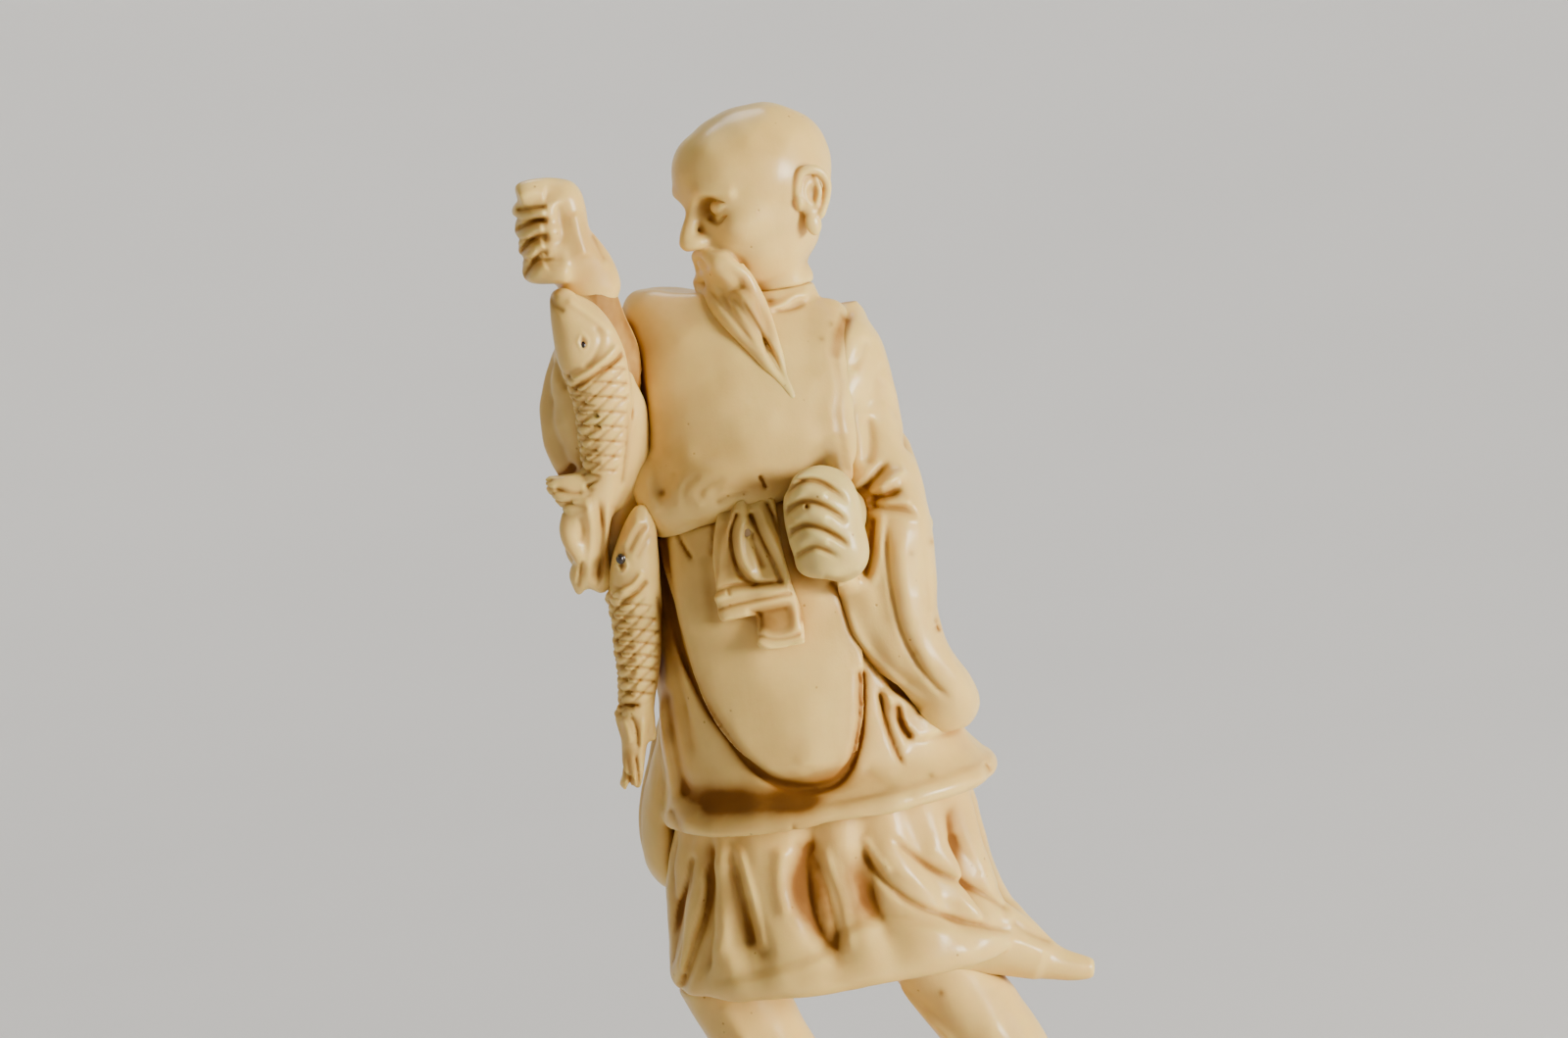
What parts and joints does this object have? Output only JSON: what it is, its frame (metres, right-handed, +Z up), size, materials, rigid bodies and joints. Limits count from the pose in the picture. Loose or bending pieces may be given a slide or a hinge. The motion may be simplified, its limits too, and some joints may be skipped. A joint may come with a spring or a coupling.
{
  "type": "carved fisherman ornament",
  "caption": "Carved standing figure of a fisherman in a long robe, a fist raised over hanging carp, put together from pegged pieces on low rocky ground.",
  "frame": {"origin": "middle of the flat underside of the rocky ground", "axes": "+Z up, -Y the way the figure faces, +X to the viewer's right"},
  "size_m": [0.0576, 0.0399, 0.1494],
  "materials": {
    "ivory": "gloss",
    "ivory_robe": "gloss",
    "ivory_head": "gloss",
    "ivory_hand": "gloss",
    "ivory_carp": "gloss",
    "ivory_rock": "satin",
    "dark_inlay": "gloss",
    "dowel_wood": "matte"
  },
  "bodies": {
    "root": {"ground_rock": "ivory_rock", "right_leg": "ivory", "left_leg": "ivory", "lower_robe": "ivory_robe", "upper_robe": "ivory_robe", "left_sleeve": "ivory_robe", "right_sleeve": "ivory_robe", "left_hand": "ivory_hand", "right_hand": "ivory", "head": "ivory_head", "sash": "ivory", "upper_carp": "ivory_carp", "lower_carp": "ivory_carp", "carp_eyes": "dark_inlay", "waist_dowels": "dowel_wood", "sleeve_dowels": "dowel_wood", "leg_dowels": "dowel_wood", "foot_dowels": "dowel_wood", "carp_pins": "dowel_wood", "sash_pin": "dowel_wood"}
  },
  "joints": []
}
